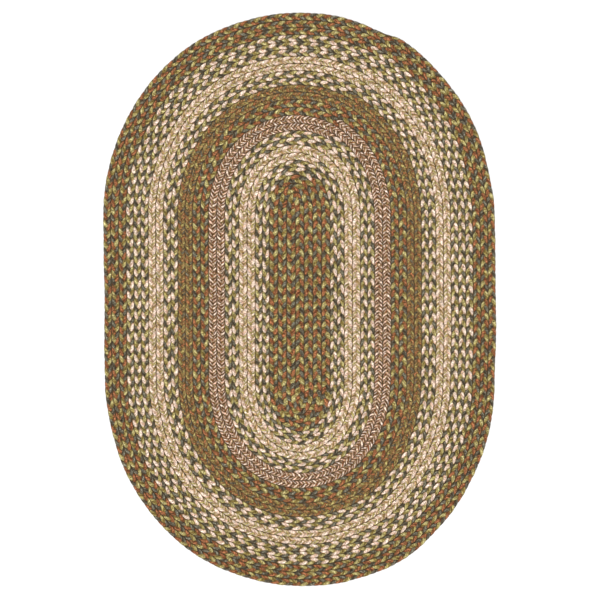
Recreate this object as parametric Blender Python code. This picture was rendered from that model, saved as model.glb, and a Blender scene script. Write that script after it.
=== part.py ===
"""Braided rug: one flat braid coiled from a straight middle into a long oval and laced edge to edge.

Metres, X across, Y along, Z up, the underside on Z = 0 and the middle of the rug's box at the origin.
The braid starts at the lower end of the middle, runs up it and turns to the left, so seen from above
the coil goes round against the clock. Each turn is a raised row on both faces. The grooves between
rows are where the turns are laced together, so the rug is one solid. Rows of unlike widths and
lengths are lofted side by side, which is why the faces are built here and not by a modifier.
"""
import math

import bpy

NAME = "braided_rug"
MM = 0.001

THICK = 11 * MM          # from the floor to the top of a row
GROOVE = 3.4 * MM        # depth of a groove, on each face
SLOPE_SHARE = 0.29       # share of a row's width that slopes down, at each of its edges
STRAIGHT_TOP = 270 * MM  # where the straight sides end, before the rug is centred on its box
STRAIGHT_BOTTOM = -254.5 * MM
BLUNT = 38 * MM          # rows of about this radius and less keep the middle's narrow ends

# Colour runs from the middle outward. The straight middle itself is as wide as the first run.
#    name             turns  braid width
RUNS = (
    ("dark middle",   3,     27.5 * MM),
    ("cream spot 1",  2,     22.1 * MM),
    ("heather 1",     2,     25.9 * MM),
    ("cream spot 2",  2,     22.1 * MM),
    ("herringbone",   2,     25.9 * MM),
    ("dark band",     2,     25.3 * MM),
    ("brown tweed",   2,     23.1 * MM),
    ("cream spot 3",  2,     22.8 * MM),
    ("heather 2",     2,     23.9 * MM),
    ("cream spot 4",  3,     23.1 * MM),
    ("dark border",   3,     24.0 * MM),
)

# At the tip of an end, rows lie closer than along the sides by a share, and all start farther out.
#    end        closer  farther out
ENDS = {
    "bottom":  (0.065,  73 * MM),
    "top":     (0.022,  44 * MM),
}

# How far the outermost row strays outward from the even oval, by its place round the coil:
# 0 to 1 is down the left side, then to 2 the bottom, to 3 up the right side and to 4 the top.
#    place  out, in mm
STRAY = (
    (0.00,    2),
    (0.25,    1),
    (0.50,   -2),
    (0.80,   -1),
    (1.00,   -3),
    (1.08,   -6),
    (1.17,   -2),
    (1.33,    1),
    (1.42,   -2),
    (1.50,    0),
    (1.58,    5),
    (1.67,   13),
    (1.75,    6),
    (1.85,    1),
    (2.00,   -3),
    (2.30,    2),
    (2.60,    0),
    (2.85,   -1),
    (3.00,   -3),
    (3.07,   -9),
    (3.15,   -7),
    (3.25,  -10),
    (3.31,   -8),
    (3.37,    2),
    (3.42,    3),
    (3.50,   -2),
    (3.58,   -4),
    (3.70,    0),
    (3.85,    0),
    (4.00,    2),
)

# How many straight pieces a turn is drawn with: an outer turn needs more than an inner one.
#    up to turn  round an end  along a side
PIECES = (
    (2,          8,            1),
    (6,          12,           1),
    (12,         16,           1),
    (18,         20,           2),
    (25,         22,           2),
)
TAIL_FROM = 7            # pieces of the last end that pass before the braid's end starts to narrow
TAIL_TO = 8              # and before it is tucked away against the row inside it
TAIL_STEPS = 4

LEFT, BOTTOM, RIGHT, TOP = range(4)


def groove_radii():
    """Half-width of the coil at each groove, from the middle row's edge to the rug's edge."""
    radii = [RUNS[0][2] / 2]
    for _, turns, width in RUNS:
        for _ in range(turns):
            radii.append(radii[-1] + width)
    return radii


RADII = groove_radii()
LAST = len(RADII) - 1


def radius(turn):
    """Groove -1 is the far side of the middle row, and the groove past the last is the tail's."""
    if turn < 0:
        return -RADII[0]
    if turn > LAST:
        return RADII[LAST] + RUNS[-1][2]
    return RADII[turn]


def ease(t):
    return t * t * (3 - 2 * t)


def stray(place):
    for (start, out_start), (end, out_end) in zip(STRAY, STRAY[1:]):
        if place <= end:
            share = ease((place - start) / (end - start))
            return (out_start + (out_end - out_start) * share) * MM
    return STRAY[-1][1] * MM


def on_side(turn, leg, t):
    """A groove's point at share t of a straight side, with its distance from the middle line."""
    side, start, end = -1, STRAIGHT_TOP, STRAIGHT_BOTTOM
    if leg == RIGHT:
        side, start, end = 1, end, start
    out = radius(turn) + wander(radius(turn), leg + t)
    return side * out, start + (end - start) * t


def wander(reach, place):
    grown = max(reach - RADII[0], 0.0) / (RADII[LAST] - RADII[0])
    return stray(place) * grown ** 2


def round_end(turn, leg, t):
    """A groove's point at share t of a rounded end. Round the top it moves out to the next turn."""
    closer, farther = ENDS["bottom" if leg == BOTTOM else "top"]
    centre_x, centre_y = 0.0, STRAIGHT_BOTTOM
    angle = math.pi * (1 + t)
    size = reach = radius(turn)
    if leg == TOP:
        onward = radius(turn + 1)
        centre_x, centre_y = (size - onward) / 2, STRAIGHT_TOP
        angle = math.pi * t
        reach += (onward - size) * ease(t)
        size = (size + onward) / 2
    tip = math.sin(angle) ** 2
    along = size * (1 - closer * tip) + wander(reach, leg + t)
    across = along + farther * tip * size / (size + BLUNT)
    return centre_x + across * math.cos(angle), centre_y + (along + farther * tip) * math.sin(angle)


def groove_point(turn, leg, t):
    return on_side(turn, leg, t) if leg in (LEFT, RIGHT) else round_end(turn, leg, t)


def between(a, b, share):
    return a[0] + (b[0] - a[0]) * share, a[1] + (b[1] - a[1]) * share


def pieces(turn, leg):
    for up_to, round_an_end, along_a_side in PIECES:
        if turn <= up_to:
            return along_a_side if leg in (LEFT, RIGHT) else round_an_end


def groove_path(turn, leg):
    """One leg of a groove as a list of share and point."""
    count = pieces(turn, leg)
    return [(i / count, groove_point(turn, leg, i / count)) for i in range(count + 1)]


def row_paths(inner, outer, shares):
    """The two edges of a row's flat top and its outer groove, for grooves given as functions."""
    near, far, outside = [], [], []
    for t in shares:
        a, b = inner(t), outer(t)
        near.append((t, between(a, b, SLOPE_SHARE)))
        far.append((t, between(a, b, 1 - SLOPE_SHARE)))
        outside.append((t, b))
    return near, far, outside


def middle_row():
    """The straight middle, from its lower tip up to the first bend."""
    tip = BOTTOM + 0.5

    def side(direction):
        def at(t):
            place = tip + direction * tip * t
            leg = min(int(place), RIGHT)
            return groove_point(0, leg, place - leg)
        return at

    left = side(-1)
    half_end, along = pieces(0, BOTTOM) // 2, pieces(0, LEFT)
    bend = 0.5 / tip
    shares = [bend * i / half_end for i in range(half_end)]
    shares += [bend + (1 - bend) * i / along for i in range(along + 1)]
    return [(t, left(t)) for t in shares], *row_paths(left, side(1), shares)


def turn_row(turn, leg):
    """One leg of a later row, between the groove inside it and the one outside it."""
    shares = [t for t, _ in groove_path(turn, leg)]
    inside = groove_path(turn - 1, leg)
    return inside, *row_paths(lambda t: groove_point(turn - 1, leg, t),
                              lambda t: groove_point(turn, leg, t), shares)


def tail_row():
    """The last leg: the braid's end narrows to nothing against the row inside it."""
    count = pieces(LAST, TOP)
    start, end = TAIL_FROM / count, TAIL_TO / count

    def inner(t):
        return groove_point(LAST - 1, TOP, t)

    def outer(t):
        gone = ease(max((t - start) / (end - start), 0.0))
        return between(groove_point(LAST, TOP, t), inner(t), gone)

    shares = [i / count for i in range(TAIL_FROM)]
    shares += [start + (end - start) * i / TAIL_STEPS for i in range(TAIL_STEPS + 1)]
    inside = groove_path(LAST - 1, TOP)[:TAIL_TO + 1]
    return inside, *row_paths(inner, outer, shares)


def all_rows():
    rows = [middle_row(), turn_row(0, TOP)]
    for turn in range(1, LAST + 1):
        rows += [turn_row(turn, leg) for leg in (LEFT, BOTTOM, RIGHT)]
        rows.append(tail_row() if turn == LAST else turn_row(turn, TOP))
    return rows


def rim_path(tail):
    """The rug's edge: on from the tucked tail and all the way round to it again."""
    path = [point for _, point in groove_path(LAST - 1, TOP)[TAIL_TO:]]
    for leg in (LEFT, BOTTOM, RIGHT):
        path += [point for _, point in groove_path(LAST, leg)[1:]]
    return path + [point for _, point in tail[1:]]


class Skin:
    """Faces over shared points: points that fall together become one."""

    def __init__(self):
        self.index = {}
        self.faces = []

    def point(self, xy, z):
        key = round(xy[0], 7), round(xy[1], 7), round(z, 7)
        return self.index.setdefault(key, len(self.index))

    def triangle(self, a, b, c, up):
        """Three points as (x, y, z), turned to face up or down."""
        corners = [self.point(p[:2], p[2]) for p in (a, b, c)]
        if len(set(corners)) < 3:
            return
        turning = (b[0] - a[0]) * (c[1] - a[1]) - (b[1] - a[1]) * (c[0] - a[0])
        self.faces.append(corners if (turning > 0) == up else corners[::-1])

    def strip(self, path_a, z_a, path_b, z_b, up):
        """Faces between two paths, which need not have the same number of points."""
        a = [(t, (*p, z_a)) for t, p in path_a]
        b = [(t, (*p, z_b)) for t, p in path_b]
        i = j = 0
        while i < len(a) - 1 or j < len(b) - 1:
            if j == len(b) - 1 or (i < len(a) - 1 and a[i + 1][0] <= b[j + 1][0]):
                self.triangle(a[i][1], a[i + 1][1], b[j][1], up)
                i += 1
            else:
                self.triangle(a[i][1], b[j + 1][1], b[j][1], up)
                j += 1

    def wall(self, path, z_low, z_high):
        for p, q in zip(path, path[1:]):
            self.faces.append([self.point(p, z_low), self.point(q, z_low),
                               self.point(q, z_high), self.point(p, z_high)])

    def centred(self):
        """The points moved so that the middle of their box is at X = 0, Y = 0."""
        middle = [(min(axis) + max(axis)) / 2 for axis in list(zip(*self.index))[:2]]
        return [(x - middle[0], y - middle[1], z) for x, y, z in self.index]


def rug_mesh():
    skin = Skin()
    rows = all_rows()
    for inside, near, far, outside in rows:
        for crest, groove, up in ((THICK, THICK - GROOVE, True), (0.0, GROOVE, False)):
            skin.strip(inside, groove, near, crest, up)
            skin.strip(near, crest, far, crest, up)
            skin.strip(far, crest, outside, groove, up)
    tail = rows[-1][3]
    skin.wall(rim_path(tail), GROOVE, THICK - GROOVE)
    mesh = bpy.data.meshes.new(NAME)
    mesh.from_pydata(skin.centred(), [], skin.faces)
    return mesh


def braid_material():
    """The colour that the olive, slate, rust and cream strands give together."""
    material = bpy.data.materials.new("braid")
    material.use_nodes = True
    surface = material.node_tree.nodes["Principled BSDF"]
    surface.inputs["Base Color"].default_value = (0.345, 0.252, 0.161, 1.0)
    surface.inputs["Roughness"].default_value = 0.95
    return material


def build():
    for thing in list(bpy.data.objects):
        bpy.data.objects.remove(thing)
    group = bpy.data.collections.new(NAME)
    bpy.context.scene.collection.children.link(group)
    rug = bpy.data.objects.new("coiled_braid", rug_mesh())
    rug.data.materials.append(braid_material())
    group.objects.link(rug)


build()
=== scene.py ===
"""The looks of a braided rug: the three strands of its long coiled braid, stitch by stitch, the lacing
between its turns, and a plain studio with the camera straight above.

Metres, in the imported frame: X across, Y along, Z up, the underside on Z = 0. The braid follows the same
coil as the rug's solid: it starts at the lower end of the straight middle, runs up it and turns to the
left. Place counts the legs of a turn, 0 to 1 down the left side, then to 2 round the bottom, to 3 up the
right side and to 4 round the top. Place along the coil goes on from turn to turn, 4 for each.
"""
import math

import bpy
import numpy as np
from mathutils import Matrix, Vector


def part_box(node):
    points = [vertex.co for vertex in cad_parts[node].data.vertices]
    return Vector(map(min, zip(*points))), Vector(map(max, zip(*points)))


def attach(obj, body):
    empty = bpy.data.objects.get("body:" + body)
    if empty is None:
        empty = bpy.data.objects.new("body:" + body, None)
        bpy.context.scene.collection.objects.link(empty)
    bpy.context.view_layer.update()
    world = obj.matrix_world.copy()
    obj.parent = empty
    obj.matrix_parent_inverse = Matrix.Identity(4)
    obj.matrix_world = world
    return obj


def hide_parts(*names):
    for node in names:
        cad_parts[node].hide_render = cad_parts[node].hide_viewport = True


MM = 0.001
NODE = "coiled_braid"

# The coil, with the same sizes as the solid.
THICK = 11 * MM
STRAIGHT_TOP = 270 * MM
STRAIGHT_BOTTOM = -254.5 * MM
BLUNT = 38 * MM

# Colour runs from the middle outward. Stitches ahead are the thirds of a period by which a run's first
# row, and each further row, is ahead of the row inside it. Strands are in the order in which they cross.
#    name             turns  braid width  ahead   strands
RUNS = (
    ("dark_middle",   3,     27.5 * MM,   0,  0,  ("olive", "slate", "rust")),
    ("cream_spot_1",  2,     22.1 * MM,   0, -1,  ("cream", "olive", "slate")),
    ("heather_1",     2,     25.9 * MM,  -1, -1,  ("cream", "heather", "heather_fine")),
    ("cream_spot_2",  2,     22.1 * MM,   1,  0,  ("cream", "olive", "slate")),
    ("herringbone",   2,     25.9 * MM,   0, -1,  ("line_cream", "line_blush", "line_rust")),
    ("dark_band",     2,     25.3 * MM,   0,  0,  ("olive", "slate", "rust")),
    ("brown_tweed",   2,     23.1 * MM,  -1,  0,  ("tweed_olive", "tweed_slate", "tweed_rust")),
    ("cream_spot_3",  2,     22.8 * MM,   1,  0,  ("cream", "olive", "slate")),
    ("heather_2",     2,     23.9 * MM,   1,  1,  ("cream", "heather", "heather_fine")),
    ("cream_spot_4",  3,     23.1 * MM,   0,  0,  ("cream", "olive", "slate")),
    ("dark_border",   3,     24.0 * MM,   0,  1,  ("olive", "slate", "rust")),
)

# At the tip of an end, rows lie closer than along the sides by a share, and all start farther out.
#                closer  farther out
BOTTOM_END =    (0.065,  73 * MM)
TOP_END =       (0.022,  44 * MM)

# How far the outermost row strays outward from the even oval, by place.
#    place  out, in mm
STRAY = (
    (0.00,    2),
    (0.25,    1),
    (0.50,   -2),
    (0.80,   -1),
    (1.00,   -3),
    (1.08,   -6),
    (1.17,   -2),
    (1.33,    1),
    (1.42,   -2),
    (1.50,    0),
    (1.58,    5),
    (1.67,   13),
    (1.75,    6),
    (1.85,    1),
    (2.00,   -3),
    (2.30,    2),
    (2.60,    0),
    (2.85,   -1),
    (3.00,   -3),
    (3.07,   -9),
    (3.15,   -7),
    (3.25,  -10),
    (3.31,   -8),
    (3.37,    2),
    (3.42,    3),
    (3.50,   -2),
    (3.58,   -4),
    (3.70,    0),
    (3.85,    0),
    (4.00,    2),
)

LEFT, BOTTOM, RIGHT, TOP = range(4)
SPLICE = 8 / 22          # share of the top leg after which colours change and the braid ends
TAIL_FROM = 7 / 22       # share of the last top leg after which the braid's end narrows
LEG_STEPS = 160          # steps in which a leg of the coil is worked out

# The braid.
FULL_HALF_WIDTH = 10 * MM  # from which it has its full height
LEAST_HALF_WIDTH = 1 * MM  # at its tip
THINNING = 0.7           # power by which its height falls with its width below the full one
PERIOD = 67 * MM         # length in which a strand crosses to the other edge and back
FIRST_RIGHT = 0.33       # share of a period that the middle row has run on, halfway up the rug
FIRST_LEFT = 0.80        # the same for the first row on the left
PHASE_DRIFT = 0.05       # how far a row's stitches stray from that, in periods
PHASE_SEED = 5
UNDERNEATH = 1 / 8       # share of its period at which a strand is lowest, and again half a period on
REACH = 0.66            # how far a strand's middle swings out, as a share of the braid's half-width
LIFT = 2.8 * MM          # how far its middle rises over and dips under
EDGE_HALF_WIDTH = 0.40   # half-width where it wraps round the edge, as a share of the braid's half-width
FLAT_HALF_WIDTH = 0.58   # half-width where it crosses
EDGE_HALF_HEIGHT = 4.6 * MM
FLAT_HALF_HEIGHT = 2.9 * MM
TILT = math.radians(8)   # how far the section leans as it dives between the other two
SQUARENESS = 2.8         # 2 is an ellipse
# The braid's own section, into which its strands are pressed.
BRAID_LIMIT = 1.08       # where it ends, as a share of the braid's half-width
CROWN = 5.0              # how flat it is before it rounds down to its edges
VALLEY = 0.60            # how deep its middle dips, as a share of half the thickness
VALLEY_REACH = 0.60      # how far out the dip goes, as a share of the braid's half-width
FIRMNESS = 8.0           # how firmly it holds the strands
# How far strands stray from the even braid, with a new amount every half period.
STRAY_PHASE = 0.16       # in radians
STRAY_OUT = 0.04         # of the braid's half-width
STRAY_RISE = 0.3 * MM
STRAY_WIDTH = 0.09       # of the strand's own width
STRAY_SEED = 26
RINGS = 16               # rings in a period
SIDES = 8                # of a strand, as the caps in tube_quads need


def groove_radii():
    """Half-width of the coil at each groove, from the middle row's edge to the rug's edge."""
    radii = [RUNS[0][2] / 2]
    for _, turns, width, *_ in RUNS:
        for _ in range(turns):
            radii.append(radii[-1] + width)
    return radii


RADII = groove_radii()
LAST = len(RADII) - 1


def radius(turn):
    """Groove -1 is the far side of the middle row, and the groove past the last is the tail's."""
    if turn < 0:
        return -RADII[0]
    if turn > LAST:
        return RADII[LAST] + RUNS[-1][2]
    return RADII[turn]


def ease(t):
    return t * t * (3 - 2 * t)


def stray(place):
    starts, outs = np.array(STRAY).T
    i = np.clip(np.searchsorted(starts, place, side="right") - 1, 0, len(STRAY) - 2)
    share = ease((place - starts[i]) / (starts[i + 1] - starts[i]))
    return (outs[i] + (outs[i + 1] - outs[i]) * share) * MM


def wander(reach, place):
    grown = np.maximum(reach - RADII[0], 0.0) / (RADII[LAST] - RADII[0])
    return stray(place) * grown ** 2


def groove(turn, place):
    """A groove's points by place, as X and Y columns. Round the top it moves out to the next turn."""
    leg = np.minimum(place.astype(int), TOP)
    t = place - leg
    on = [leg == side for side in (LEFT, BOTTOM, RIGHT)]
    own, onward = radius(turn), radius(turn + 1)
    reach = own + np.where(leg == TOP, (onward - own) * ease(t), 0.0)
    size = np.where(leg == TOP, (own + onward) / 2, own)
    centre_x = np.where(leg == TOP, (own - onward) / 2, 0.0)
    length = STRAIGHT_TOP - STRAIGHT_BOTTOM
    centre_y = np.select(on, [STRAIGHT_TOP - length * t, STRAIGHT_BOTTOM, STRAIGHT_BOTTOM + length * t],
                         STRAIGHT_TOP)
    angle = np.select(on, [math.pi, math.pi * (1 + t), 0.0], math.pi * t)
    tip = np.sin(angle) ** 2
    closer, farther = (np.where(leg == BOTTOM, low, high) for low, high in zip(BOTTOM_END, TOP_END))
    along = size * (1 - closer * tip) + wander(reach, place)
    across = along + farther * tip * size / (size + BLUNT)
    return np.stack([centre_x + across * np.cos(angle),
                     centre_y + (along + farther * tip) * np.sin(angle)], axis=1)


def last_leg_edges():
    """Both edges of the last leg, where the braid's end narrows against the row inside it."""
    t = np.linspace(0, SPLICE, LEG_STEPS + 1)
    inner, outer = groove(LAST - 1, TOP + t), groove(LAST, TOP + t)
    gone = ease(np.clip((t - TAIL_FROM) / (SPLICE - TAIL_FROM), 0, 1))[:, None]
    return t, inner, outer + (inner - outer) * gone


class Coil:
    """The braid's line through the coil: its middle and half its width, by count of braid periods."""

    def __init__(self):
        t = np.linspace(0, 1, LEG_STEPS + 1)
        place = [1.5 + 1.5 * t]
        inner = [groove(0, 1.5 - 1.5 * t)]
        outer = [groove(0, 1.5 + 1.5 * t)]
        for at in range(TOP, 4 * LAST + TOP):
            turn, leg = divmod(at, 4)
            place.append(at + t)
            inner.append(groove(turn - 1, leg + t))
            outer.append(groove(turn, leg + t))
        tail_t, tail_inner, tail_outer = last_leg_edges()
        place.append(4 * LAST + TOP + tail_t)
        inner.append(tail_inner)
        outer.append(tail_outer)
        self.place = np.concatenate(place)
        self.centre_on_solid(outer)
        inner, outer = np.concatenate(inner) + self.shift, np.concatenate(outer) + self.shift
        self.middle = (inner + outer) / 2
        self.half = (outer - inner) / 2
        steps = np.linalg.norm(np.diff(self.middle, axis=0), axis=1)
        self.distance = np.concatenate([[0.0], np.cumsum(steps)])
        self.periods = self.count_periods()

    def centre_on_solid(self, outer):
        """Moves the coil so that the middle of its outline is the middle of the solid's box."""
        rim = np.concatenate(outer[-4:] + [groove(LAST - 1, np.linspace(TOP + SPLICE, 4, LEG_STEPS))])
        low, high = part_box(NODE)
        wanted = np.array([low.x + high.x, low.y + high.y]) / 2
        self.shift = wanted - (rim.min(axis=0) + rim.max(axis=0)) / 2

    def count_periods(self):
        """Periods since the start. The count is set halfway up each side of the rug, so that the
        stitches of neighbouring rows lie there as the table of runs says."""
        rng = np.random.default_rng(PHASE_SEED)
        marks = np.interp(np.arange(2.5, 4 * LAST + TOP, 2.0), self.place, self.distance)
        counts = [FIRST_RIGHT + round(marks[0] / PERIOD)]
        counts.append(FIRST_LEFT + round(counts[0] + (marks[1] - marks[0]) / PERIOD - FIRST_LEFT))
        for _, turns, _, first, further, _ in RUNS:
            for ahead in [first] + [further] * (turns - 1):
                for _ in range(2):
                    mark = len(counts)
                    if mark < len(marks):
                        lap = (marks[mark] - marks[mark - 2]) / PERIOD - ahead / 3
                        counts.append(counts[mark - 2] + round(lap) + ahead / 3)
        counts = np.array(counts) + rng.uniform(-PHASE_DRIFT, PHASE_DRIFT, len(counts))
        start = counts[0] - marks[0] / PERIOD
        end = counts[-1] + (self.distance[-1] - marks[-1]) / PERIOD
        return np.interp(self.distance, [0, *marks, self.distance[-1]], [start, *counts, end])

    def at(self, periods):
        """The middle and half-width vectors at counts of periods."""
        columns = [np.interp(periods, self.periods, column) for column in (*self.middle.T, *self.half.T)]
        return np.stack(columns[:2], axis=1), np.stack(columns[2:], axis=1)

    def splice(self, turn):
        """Count of periods at the splice on the top leg of a turn."""
        return np.interp(4 * turn + TOP + SPLICE, self.place, self.periods)


def under(periods, strand):
    """The nearest count at which a strand is underneath, where its splice doesn't show."""
    return round(2 * (periods - strand / 3 - UNDERNEATH)) / 2 + strand / 3 + UNDERNEATH


def uneven(rng, count, amount):
    """Smooth random differences for a row of rings, with a new value every half period."""
    at = np.arange(count) / (RINGS // 2)
    knots = rng.uniform(-amount, amount, int(at[-1]) + 2)
    i = at.astype(int)
    return knots[i] + (knots[i + 1] - knots[i]) * ease(at - i)


def held_within(value, limit):
    """The value, pressed smoothly to stay under the limit on either side."""
    return value / (1 + np.abs(value / limit) ** FIRMNESS) ** (1 / FIRMNESS)


def strand_section():
    """The section of a strand that is 1 wide and 1 high from its middle: its sides' X, then their Z."""
    angle = 2 * math.pi * (np.arange(SIDES) + 0.5) / SIDES
    return [np.sign(of) * np.abs(of) ** (2 / SQUARENESS) for of in (np.cos(angle), np.sin(angle))]


def press(rings, middle, half, half_width, swell):
    """Presses the rings of a strand into the braid's own section."""
    beside = ((rings[:, :, :2] - middle[:, None]) * half[:, None]).sum(axis=2) / half_width[:, None] ** 2
    kept = held_within(beside, BRAID_LIMIT)
    rings[:, :, :2] += (kept - beside)[:, :, None] * half[:, None]
    room = THICK / 2 * swell[:, None] * np.sqrt(1 - np.abs(kept / BRAID_LIMIT) ** CROWN)
    room *= 1 - VALLEY * (1 - ease(np.minimum(np.abs(kept) / VALLEY_REACH, 1)))
    rings[:, :, 2] = THICK / 2 + held_within(rings[:, :, 2] - THICK / 2, room)


def strand_rings(coil, strand, start, end, fullness, rng):
    """The rings of one strand between two counts of periods, its length up to each ring, and how far it
    crosses there, from 1 for outward to -1 for inward."""
    count = int(round((end - start) * RINGS)) + 1
    periods = np.linspace(start, end, count)
    middle, half = coil.at(periods)
    half_width = np.maximum(np.linalg.norm(half, axis=1), LEAST_HALF_WIDTH)
    swell = np.minimum(1.0, half_width / FULL_HALF_WIDTH) ** THINNING
    phase = 2 * math.pi * (periods - strand / 3) + uneven(rng, count, STRAY_PHASE)
    side = np.cos(phase)
    flat = 1 - np.sin(phase) ** 4
    out = REACH * np.sin(phase) + uneven(rng, count, STRAY_OUT)
    rise = -LIFT * np.sin(2 * phase) * swell + uneven(rng, count, STRAY_RISE)
    line = np.column_stack([middle + half * out[:, None], THICK / 2 + rise])
    wide = half_width * (EDGE_HALF_WIDTH + (FLAT_HALF_WIDTH - EDGE_HALF_WIDTH) * flat)
    wide *= fullness + uneven(rng, count, STRAY_WIDTH)
    high = (EDGE_HALF_HEIGHT + (FLAT_HALF_HEIGHT - EDGE_HALF_HEIGHT) * flat) * swell
    ahead = np.gradient(line, axis=0)
    lengths = np.linalg.norm(np.diff(line, axis=0), axis=1)
    ahead /= np.linalg.norm(ahead, axis=1)[:, None]
    across = np.cross(ahead, (0.0, 0.0, 1.0))
    across /= np.linalg.norm(across, axis=1)[:, None]
    upward = np.cross(across, ahead)
    tilt = -TILT * side
    wide_axis = across * np.cos(tilt)[:, None] + upward * np.sin(tilt)[:, None]
    high_axis = upward * np.cos(tilt)[:, None] - across * np.sin(tilt)[:, None]
    section_x, section_z = strand_section()
    rings = (line[:, None] + (wide[:, None] * section_x)[:, :, None] * wide_axis[:, None]
             + (high[:, None] * section_z)[:, :, None] * high_axis[:, None])
    press(rings, middle, half, half_width, swell)
    return rings, np.concatenate([[0.0], np.cumsum(lengths)]), side


def mesh_of_quads(name, points, quads):
    mesh = bpy.data.meshes.new(name)
    mesh.vertices.add(len(points))
    mesh.vertices.foreach_set("co", points.astype(np.float32).ravel())
    mesh.loops.add(quads.size)
    mesh.loops.foreach_set("vertex_index", quads.astype(np.int32).ravel())
    mesh.polygons.add(len(quads))
    mesh.polygons.foreach_set("loop_start", np.arange(0, quads.size, 4, dtype=np.int32))
    mesh.update(calc_edges=True)
    mesh.validate()
    mesh.shade_smooth()
    return mesh


def tube_quads(rings):
    """Quads round a closed tube of rings, with its two ends closed by three quads each."""
    ring = np.arange(rings - 1)[:, None] * SIDES
    side = np.arange(SIDES)
    after = (side + 1) % SIDES
    walls = np.stack([ring + side, ring + SIDES + side, ring + SIDES + after, ring + after], axis=2)
    cap = np.array([(0, 1, 2, 3), (0, 3, 4, 7), (4, 5, 6, 7)])
    return np.concatenate([walls.reshape(-1, 4), cap, (cap + (rings - 1) * SIDES)[:, ::-1]])


def add_uv(mesh, name, uv):
    layer = mesh.uv_layers.new(name=name, do_init=False)
    layer.data.foreach_set("uv", uv.astype(np.float32).ravel())


GIRTH = 1.2              # way round a strand, as a share of the braid's width
# The bake map: strips of a strand's length, one above another.
STRIP_MARGIN = 0.06      # share of a strip that stays empty
STRIP_END = 4            # empty length past the strips, in heights of one
CAPS_AT = 0.999          # the place of the strand's two ends, both ways


def strand_uvs(mesh, lengths, rolled, girth):
    """The yarn map, with length along and share around, and the bake map."""
    rings = len(lengths)
    ring = np.repeat(np.arange(rings - 1), SIDES)
    side = np.tile(np.arange(SIDES), rings - 1)
    corner_ring = np.stack([ring, ring + 1, ring + 1, ring], axis=1)
    corner_side = np.stack([side, side, side + 1, side + 1], axis=1)
    caps = np.zeros((6, 4, 2))
    around = corner_side / SIDES
    yarn = np.stack([lengths[corner_ring], around + rolled[corner_ring]], axis=2)
    add_uv(mesh, "yarn", np.concatenate([yarn, caps]))
    strips = math.ceil(math.sqrt(lengths[-1] / girth))
    strip_length = lengths[-1] / strips
    strip = np.minimum(lengths[ring] // strip_length, strips - 1)[:, None]
    along = (lengths[corner_ring] - strip * strip_length) / (strip_length + STRIP_END * girth / strips)
    up = (strip + STRIP_MARGIN / 2 + around * (1 - STRIP_MARGIN)) / strips
    add_uv(mesh, "OFBake", np.concatenate([np.stack([along, up], axis=2), caps + CAPS_AT]))
    mesh.uv_layers["yarn"].active = True
    mesh.uv_layers["yarn"].active_render = True


def make_strand(coil, run, which, first_turn, last_turn, rng):
    """One strand of one colour run, from splice to splice."""
    name, _, width, _, _, kinds = RUNS[run]
    start = coil.periods[0] if run == 0 else under(coil.splice(first_turn - 1), which)
    end = coil.periods[-1] if run == len(RUNS) - 1 else under(coil.splice(last_turn), which)
    fullness, roll, *_ = KINDS[kinds[which]]
    rings, lengths, side = strand_rings(coil, which, start, end, fullness, rng)
    mesh = mesh_of_quads(f"{name}_{kinds[which]}", rings.reshape(-1, 3), tube_quads(len(rings)))
    strand_uvs(mesh, lengths, roll * side, GIRTH * width)
    strand = bpy.data.objects.new(mesh.name, mesh)
    bpy.context.scene.collection.objects.link(strand)
    return strand


def add_strands(coil, materials):
    rng = np.random.default_rng(STRAY_SEED)
    strands = []
    first_turn = 1
    for run, (_, turns, *_, kinds) in enumerate(RUNS):
        last_turn = first_turn + turns - 1
        for which, kind in enumerate(kinds):
            strand = make_strand(coil, run, which, first_turn, last_turn, rng)
            strand.data.materials.append(materials[kind])
            strands.append(strand)
        first_turn = last_turn + 1
    return strands


# The lacing: a thin web of thread halfway up, which joins each turn to the next.
LACING_THICK = 1.2 * MM
LACING_INSET = 5 * MM    # how far it ends inside the rim
LACING_LEAST = 1 * MM    # its width past the last groove, at the braid's tip
LACING_STEPS = 44        # steps in each leg


def lacing_mesh(coil):
    """The lacing's points, the corners of its faces between turns and inside the middle row's ends, and
    the first corners of the faces that close it round the first top leg."""
    t = np.arange(LACING_STEPS) / LACING_STEPS
    grooves = [groove(turn, leg + t) for turn in range(LAST + 1) for leg in range(4)]
    points = np.concatenate(grooves)
    lap = 4 * LACING_STEPS
    outward = points - np.roll(points, lap, axis=0)
    widths = np.linalg.norm(outward, axis=1)
    outward /= widths[:, None]
    tail = np.arange(round(SPLICE * LACING_STEPS) + 1) / LACING_STEPS
    end = len(points) - LACING_STEPS + len(tail)
    points, rim = points[:end], np.arange(end - lap, end)
    gone = ease(np.clip((tail - TAIL_FROM) / (SPLICE - TAIL_FROM), 0, 1))
    inset = np.full(lap, LACING_INSET)
    inset[-len(tail):] += gone * widths[rim[-len(tail):]]
    points[rim] -= outward[rim] * np.minimum(inset, widths[rim] - LACING_LEAST)[:, None]
    i = np.arange(lap, len(points) - 1)
    turns = np.stack([i - lap, i - lap + 1, i + 1, i], axis=1)
    half = 3 * LACING_STEPS // 2
    k = np.arange(half)
    middle = np.stack([half - k, half - k - 1, half + k + 1, half + k], axis=1)
    middle[0, 0] = middle[0, 3]
    top = np.arange(3 * LACING_STEPS, lap)
    return points + coil.shift, turns, middle, top


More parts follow.
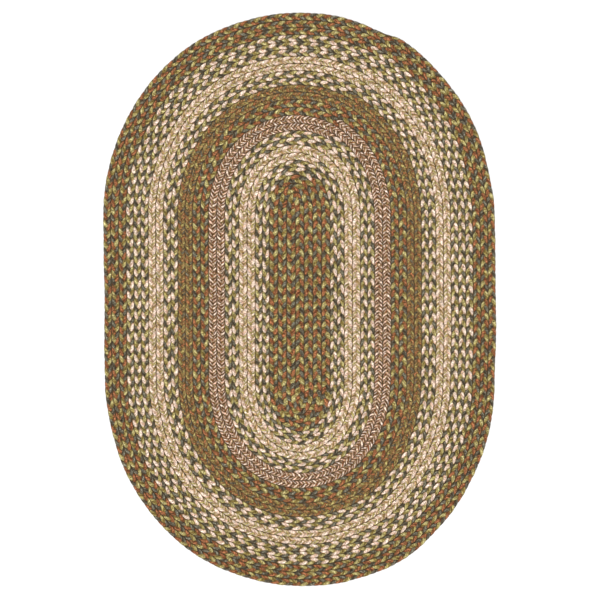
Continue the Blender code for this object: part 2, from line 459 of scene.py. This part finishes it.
def add_lacing(coil, material):
    points, turns, middle, top = lacing_mesh(coil)
    faces = [list(map(int, f)) for f in turns]
    faces += [list(dict.fromkeys(map(int, f))) for f in middle]
    faces += [[0, int(i) + 1, int(i)] for i in top]
    mesh = bpy.data.meshes.new("lacing")
    mesh.from_pydata([(x, y, THICK / 2) for x, y in points], [], faces)
    mesh.validate()
    area = sum(face.area for face in mesh.polygons)
    lacing = bpy.data.objects.new("lacing", mesh)
    bpy.context.scene.collection.objects.link(lacing)
    solidify = lacing.modifiers.new("thickness", "SOLIDIFY")
    solidify.thickness = LACING_THICK
    solidify.offset = 0
    mesh.materials.append(material)
    return lacing, area


# Colours as they look in a picture, 0 to 255.
COLOURS = {
    "cream":       (237, 214, 196),
    "blush":       (220, 184, 162),
    "sand":        (200, 164, 120),
    "olive":       (172, 158, 98),
    "light_olive": (196, 186, 130),
    "dark_olive":  (126, 106, 54),
    "slate":       (111, 105, 88),
    "light_slate": (136, 132, 114),
    "dark_slate":  (72, 62, 46),
    "rust":        (174, 112, 74),
    "dark_rust":   (130, 76, 46),
    "brown":       (104, 72, 42),
    "umber":       (148, 118, 74),
    "thread":      (84, 66, 38),
}

# Kinds of strand: how full it is, how many turns its yarns roll, each way, as it wraps round an edge,
# how often the order of its yarns repeats round it, their colours in that order, the colours of its
# flecks with the share of the yarn that each covers, and the tone between its yarns, which is painted
# shade in the gaps between them.
#    kind            full  roll  repeats  yarns, flecks, between
KINDS = {
    "olive":        (1.10, 0.22, 2, ("olive", "light_olive", "olive", "dark_olive"),
                     (("dark_olive", 0.30), ("light_olive", 0.08)), 0.50),
    "slate":        (0.94, 0.22, 2, ("slate", "light_slate", "slate", "dark_slate"),
                     (("dark_slate", 0.35), ("light_slate", 0.08)), 0.50),
    "rust":         (0.92, 0.22, 2, ("rust", "rust", "dark_rust", "rust"),
                     (("brown", 0.35), ("olive", 0.08)), 0.50),
    "cream":        (1.06, 0.22, 2, ("cream", "cream", "blush", "cream"),
                     (("blush", 0.15), ("brown", 0.06)), 0.60),
    "heather":      (1.00, 0.22, 4, ("cream", "olive"),
                     (("olive", 0.35), ("brown", 0.15)), 0.50),
    "heather_fine": (1.00, 0.22, 2, ("cream", "olive", "blush", "umber", "sand"),
                     (("olive", 0.30), ("brown", 0.15)), 0.50),
    "line_cream":   (1.00, 0.22, 4, ("cream", "brown"),
                     (("brown", 0.30), ("rust", 0.15)), 0.40),
    "line_blush":   (1.00, 0.22, 4, ("blush", "brown"),
                     (("olive", 0.25), ("rust", 0.20)), 0.40),
    "line_rust":    (1.00, 0.22, 4, ("cream", "dark_rust"),
                     (("umber", 0.35), ("olive", 0.15)), 0.40),
    "tweed_olive":  (1.05, 0.22, 3, ("olive", "umber"),
                     (("dark_olive", 0.30), ("dark_rust", 0.15), ("light_olive", 0.12)), 0.35),
    "tweed_slate":  (0.95, 0.22, 3, ("umber", "slate"),
                     (("dark_slate", 0.35), ("rust", 0.15), ("olive", 0.12)), 0.35),
    "tweed_rust":   (1.00, 0.22, 3, ("rust", "umber"),
                     (("brown", 0.35), ("olive", 0.20)), 0.35),
}


def linear(colour):
    """A colour from the 0 to 255 of a picture to the light that it stands for, with full alpha."""
    values = np.array(COLOURS[colour]) / 255
    light = np.where(values <= 0.04045, values / 12.92, ((values + 0.055) / 1.055) ** 2.4)
    return (*light.tolist(), 1.0)


class Shader:
    """A material and short ways to add its nodes. Values are sockets or plain numbers."""

    def __init__(self, name):
        self.material = bpy.data.materials.new(name)
        self.material.use_nodes = True
        self.nodes = self.material.node_tree.nodes
        self.surface = self.nodes["Principled BSDF"]

    def connect(self, value, socket):
        if isinstance(value, bpy.types.NodeSocket):
            self.material.node_tree.links.new(value, socket)
        else:
            socket.default_value = value

    def node(self, kind, inputs=(), **settings):
        made = self.nodes.new(kind)
        for name, value in settings.items():
            setattr(made, name, value)
        for socket, value in dict(inputs).items():
            self.connect(value, made.inputs[socket])
        return made

    def math(self, operation, *values):
        made = self.node("ShaderNodeMath", operation=operation)
        for value, socket in zip(values, made.inputs):
            self.connect(value, socket)
        return made.outputs[0]

    def noise(self, x, y, z):
        """Noise whose spots are about 1 across each way."""
        place = self.node("ShaderNodeCombineXYZ", {"X": x, "Y": y, "Z": z}).outputs[0]
        made = self.node("ShaderNodeTexNoise", {"Vector": place, "Scale": 1.0, "Detail": 2.0})
        return made.outputs[0]

    def mixed(self, share, colour, other):
        made = self.node("ShaderNodeMix", data_type="RGBA")
        factor, a, b = (made.inputs[index] for index in (0, 6, 7))
        self.connect(share, factor)
        self.connect(colour, a)
        self.connect(other, b)
        return made.outputs[2]

    def step(self, value, low, high):
        """0 up to low and 1 from high, smooth between."""
        made = self.node("ShaderNodeMapRange", {"Value": value, "From Min": low, "From Max": high},
                         interpolation_type="SMOOTHSTEP")
        return made.outputs["Result"]

    def scaled(self, colour, factor):
        made = self.node("ShaderNodeVectorMath", {0: colour, "Scale": factor}, operation="SCALE")
        return made.outputs[0]

    def tinted(self, colour, tint):
        made = self.node("ShaderNodeVectorMath", {0: colour, 1: tint}, operation="MULTIPLY")
        return made.outputs[0]

    def finish(self, colour, height, strength, relief, values):
        """Sets the surface: its colour, its bump and its single values by name."""
        self.connect(colour, self.surface.inputs["Base Color"])
        bump = self.node("ShaderNodeBump", {"Height": height, "Strength": strength, "Distance": relief})
        self.connect(bump.outputs["Normal"], self.surface.inputs["Normal"])
        for name, value in values.items():
            self.surface.inputs[name].default_value = value
        return self.material


GAIN = 1.02              # makes up for the light and the darker places
YARN_TWIST = 9.0         # yarns passed in a metre along the strand
YARN_RELIEF = 0.6 * MM
YARN_BUMP = 0.8
YARN_SURFACE = {"Roughness": 0.92, "Specular IOR Level": 0.2, "Sheen Weight": 0.10, "Sheen Roughness": 0.5}
PLY_HEIGHT = 0.35        # of the yarns' own height
FIBRE_HEIGHT = 0.35
PLY_PITCH = 5 * MM
PLY_SLANT = 1.0          # plies passed straight across a yarn
PLY_SHADE_BETWEEN = 0.65       # painted shade: tone between a yarn's plies
ROUNDNESS = 0.6          # power by which the tone rises from the painted shade between yarns or plies to their crests
# Spots on a yarn: their length, how many fit side by side, and how much they lighten and darken it.
#                length    number  tone
FIBRES =        (2.5 * MM, 3.0,    0.35)
SPECKS =        (3.5 * MM, 1.0,    0.50)
PATCHES =       (20 * MM,  0.3,    0.15)
FLECKS =        (4.0 * MM, 1.6)
SPOTS_FROM, SPOTS_TO = 0.3, 0.7  # noise at which spots are darkest and lightest
# A fleck shows where the noise is above an edge, which falls as its share grows.
FLECK_EDGE = 0.72
FLECK_FALL = 0.55
FLECK_SOFTNESS = 0.06
FLECK_LAYERS = 0.3       # how far apart the noises of a strand's flecks are taken
# Painted shade: yarns are darkened and browned where they face sideways, or lie deep between the strands,
# where shade falls.
CREASE_DEEP = 0.5 * MM   # height from the rug's middle plane
CREASE_SHALLOW = 5.0 * MM
CREASE_STEEP = 0.25      # height of the unit normal
CREASE_FLAT = 0.85
# colour by which the painted shade browns and darkens the yarns
CREASE_SHADE_TINT = (0.44, 0.33, 0.13)


def yarn_colours(shader, number, yarns):
    """The colour of each yarn by its number in the order round the strand."""
    ramp = shader.node("ShaderNodeValToRGB", {"Fac": shader.math("DIVIDE", number, float(len(yarns)))})
    ramp.color_ramp.interpolation = "CONSTANT"
    stops = ramp.color_ramp.elements
    stops.remove(stops[-1])
    stops[0].color = linear(yarns[0])
    for place in range(1, len(yarns)):
        stops.new((place - 0.5) / len(yarns)).color = linear(yarns[place])
    return ramp.outputs["Color"]


def unshaded_share(shader):
    """1 on top of a strand and 0 in the creases beside it, where the colour is painted with shade."""
    coordinates = shader.node("ShaderNodeTexCoord").outputs
    place, normal = (shader.node("ShaderNodeSeparateXYZ", {"Vector": coordinates[name]}).outputs["Z"]
                     for name in ("Object", "Normal"))
    proud = shader.math("ABSOLUTE", shader.math("SUBTRACT", place, THICK / 2))
    facing = shader.math("ABSOLUTE", normal)
    return shader.math("MULTIPLY", shader.step(proud, CREASE_DEEP, CREASE_SHALLOW),
                       shader.step(facing, CREASE_STEEP, CREASE_FLAT))


def yarn_material(kind, seed):
    *_, repeats, yarns, flecks, between = KINDS[kind]
    shader = Shader(kind)
    place = shader.node("ShaderNodeUVMap", uv_map="yarn")
    split = shader.node("ShaderNodeSeparateXYZ", {"Vector": place.outputs[0]})
    along, around = split.outputs["X"], split.outputs["Y"]
    across = shader.math("MULTIPLY_ADD", along, YARN_TWIST,
                         shader.math("MULTIPLY", around, float(repeats * len(yarns))))
    number = shader.math("WRAP", shader.math("FLOOR", across), float(len(yarns)), 0.0)
    colour = yarn_colours(shader, number, yarns)

    def spots(length, side_by_side, layer=0.0):
        return shader.noise(shader.math("DIVIDE", along, length),
                            shader.math("MULTIPLY", across, side_by_side), seed + layer)

    def crest(count):
        """1 on the crest of each whole count and 0 between."""
        return shader.math("SINE", shader.math("MULTIPLY", shader.math("FRACT", count), math.pi))

    yarn_crest = crest(across)
    ply_crest = crest(shader.math("MULTIPLY_ADD", along, 1 / PLY_PITCH,
                                  shader.math("MULTIPLY", across, PLY_SLANT)))
    for layer, (fleck_colour, share) in enumerate(flecks, start=1):
        edge = FLECK_EDGE - FLECK_FALL * share
        spot = shader.step(spots(*FLECKS, FLECK_LAYERS * layer), edge, edge + FLECK_SOFTNESS)
        colour = shader.mixed(spot, colour, linear(fleck_colour))
    shade = GAIN
    # Painted shade: each yarn, and each ply in it, is darkened towards the gaps between them.
    for height, low in ((yarn_crest, between), (ply_crest, PLY_SHADE_BETWEEN)):
        tone = shader.math("MULTIPLY_ADD", shader.math("POWER", height, ROUNDNESS), 1 - low, low)
        shade = shader.math("MULTIPLY", shade, tone)
    for length, side_by_side, tone in (FIBRES, SPECKS, PATCHES):
        spotted = shader.step(spots(length, side_by_side), SPOTS_FROM, SPOTS_TO)
        shade = shader.math("MULTIPLY", shade, shader.math("MULTIPLY_ADD", spotted, 2 * tone, 1 - tone))
    colour = shader.scaled(colour, shade)
    # Painted shade: the colour is browned and darkened in the creases and on the steep sides of the
    # strands.
    colour = shader.mixed(unshaded_share(shader), shader.tinted(colour, CREASE_SHADE_TINT), colour)

    height = shader.math("MULTIPLY_ADD", ply_crest, PLY_HEIGHT, yarn_crest)
    height = shader.math("MULTIPLY_ADD", spots(*FIBRES[:2]), FIBRE_HEIGHT, height)
    return shader.finish(colour, height, YARN_BUMP, YARN_RELIEF, YARN_SURFACE)


THREAD_SCALE = 220.0     # of the wave texture of threads
THREAD_WOBBLE = 3.0
THREAD_SHADE_BETWEEN = 0.5     # painted shade: tone between threads
THREAD_BUMP = 0.6
THREAD_RELIEF = 0.5 * MM
THREAD_SURFACE = {"Roughness": 0.95}


def lacing_material():
    shader = Shader("lacing_thread")
    place = shader.node("ShaderNodeTexCoord").outputs["Object"]
    threads = shader.node("ShaderNodeTexWave", {"Vector": place, "Scale": THREAD_SCALE,
                                                "Distortion": THREAD_WOBBLE}).outputs["Fac"]
    # Painted shade: the thread colour is darkened in the grooves between threads.
    tone = shader.math("MULTIPLY_ADD", threads, 1 - THREAD_SHADE_BETWEEN, THREAD_SHADE_BETWEEN)
    colour = shader.scaled(linear("thread")[:3], tone)
    return shader.finish(colour, threads, THREAD_BUMP, THREAD_RELIEF, THREAD_SURFACE)


FLOOR_SIZE = 30.0
FLOOR_COLOUR = (0.9, 0.9, 0.9, 1.0)
FLOOR_ROUGHNESS = 0.9
SKY_COLOUR = (1.0, 1.0, 1.0, 1.0)
SKY_STRENGTH = 1.0
SUN_ENERGY = 1.6
SUN_ANGLE = math.radians(20)
SUN_ROTATION = (math.radians(18), 0.0, math.radians(-20))
PICTURE_WIDTH = 1.896    # metres that the picture shows at the rug
PICTURE_CENTRE = (0.8 * MM, -1.7 * MM)
LENS = 150.0             # millimetres, on Blender's 36 mm sensor
SENSOR = 36.0


def add_floor():
    bpy.ops.mesh.primitive_plane_add(size=FLOOR_SIZE)
    floor = bpy.context.object
    floor.name = "floor"
    material = bpy.data.materials.new("pale_floor")
    material.use_nodes = True
    surface = material.node_tree.nodes["Principled BSDF"]
    surface.inputs["Base Color"].default_value = FLOOR_COLOUR
    surface.inputs["Roughness"].default_value = FLOOR_ROUGHNESS
    surface.inputs["Specular IOR Level"].default_value = 0.0
    floor.data.materials.append(material)


def add_light():
    world = bpy.data.worlds.new("studio")
    world.use_nodes = True
    world.node_tree.nodes["Background"].inputs["Color"].default_value = SKY_COLOUR
    world.node_tree.nodes["Background"].inputs["Strength"].default_value = SKY_STRENGTH
    bpy.context.scene.world = world
    key = bpy.data.lights.new("key", "SUN")
    key.energy = SUN_ENERGY
    key.angle = SUN_ANGLE
    lamp = bpy.data.objects.new("key", key)
    lamp.rotation_euler = SUN_ROTATION
    bpy.context.scene.collection.objects.link(lamp)


def add_camera():
    data = bpy.data.cameras.new("camera")
    data.lens = LENS
    data.sensor_width = SENSOR
    camera = bpy.data.objects.new("camera", data)
    camera.location = (*PICTURE_CENTRE, THICK + PICTURE_WIDTH * LENS / SENSOR)
    bpy.context.scene.collection.objects.link(camera)
    bpy.context.scene.camera = camera


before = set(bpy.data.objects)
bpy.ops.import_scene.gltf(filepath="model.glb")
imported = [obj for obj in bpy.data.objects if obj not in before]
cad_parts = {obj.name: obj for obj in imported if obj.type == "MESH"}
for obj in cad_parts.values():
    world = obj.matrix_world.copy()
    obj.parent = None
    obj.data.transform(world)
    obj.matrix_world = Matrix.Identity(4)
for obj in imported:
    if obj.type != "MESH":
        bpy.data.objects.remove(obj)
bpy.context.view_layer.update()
bpy.context.scene.view_settings.view_transform = "Standard"
add_floor()
add_light()
add_camera()
coil = Coil()
materials = {kind: yarn_material(kind, seed) for seed, kind in enumerate(KINDS)}
strands = add_strands(coil, materials)
lacing, lacing_area = add_lacing(coil, lacing_material())
for piece in [*strands, lacing]:
    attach(piece, "root")
    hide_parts(NODE)
